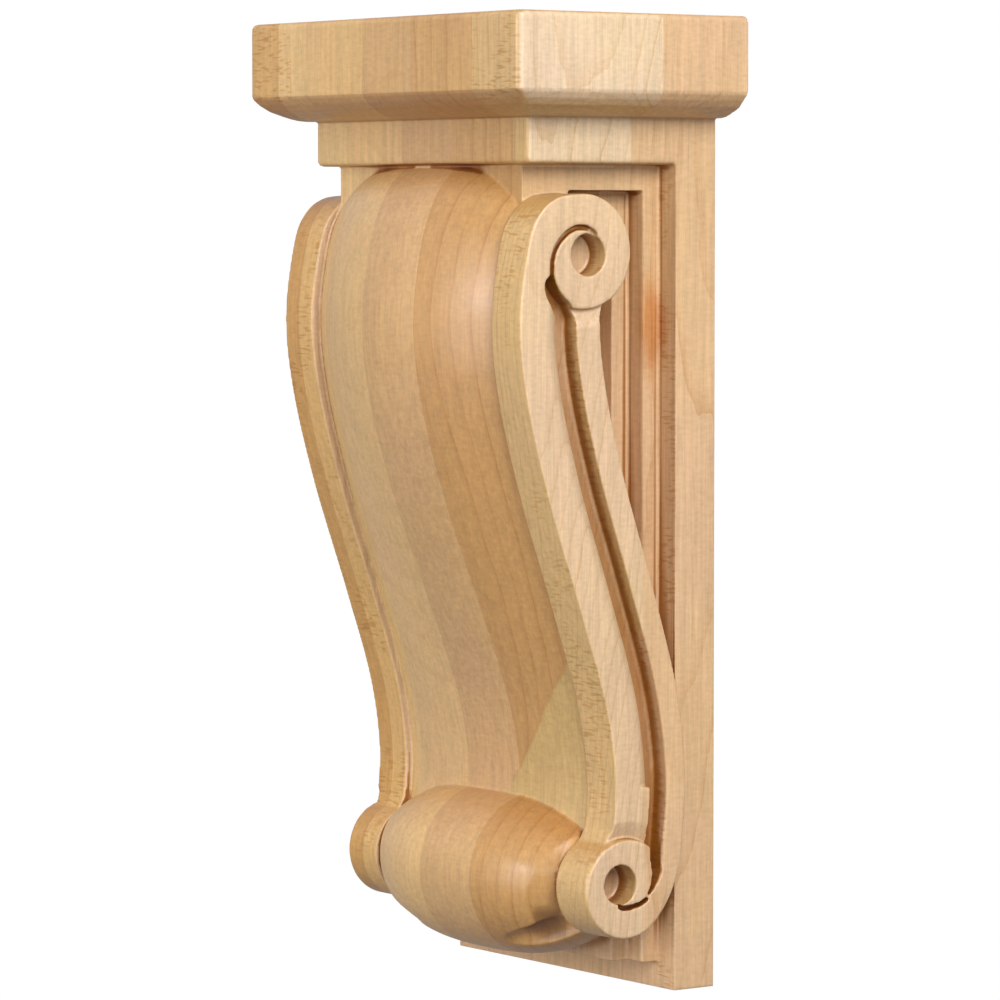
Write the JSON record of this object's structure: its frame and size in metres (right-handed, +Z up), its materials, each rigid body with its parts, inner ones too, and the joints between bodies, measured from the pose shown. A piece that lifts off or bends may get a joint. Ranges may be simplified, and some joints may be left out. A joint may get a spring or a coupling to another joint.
{
  "type": "gothic corbel",
  "caption": "Carved wooden wall bracket: a square moulded cap on a crowned ogee face between two side scrolls with volutes, ending in a barrel roll, on a flat back plate.",
  "frame": {"origin": "middle of the flat back face, which lies on the wall", "axes": "+Z up, -Y out from the wall, X across the face; +Y points into the wall"},
  "size_m": [0.15, 0.0881, 0.305],
  "materials": {
    "maple": "satin clear lacquer over glued maple staves"
  },
  "bodies": {
    "root": {"corbel": "maple"}
  },
  "joints": []
}
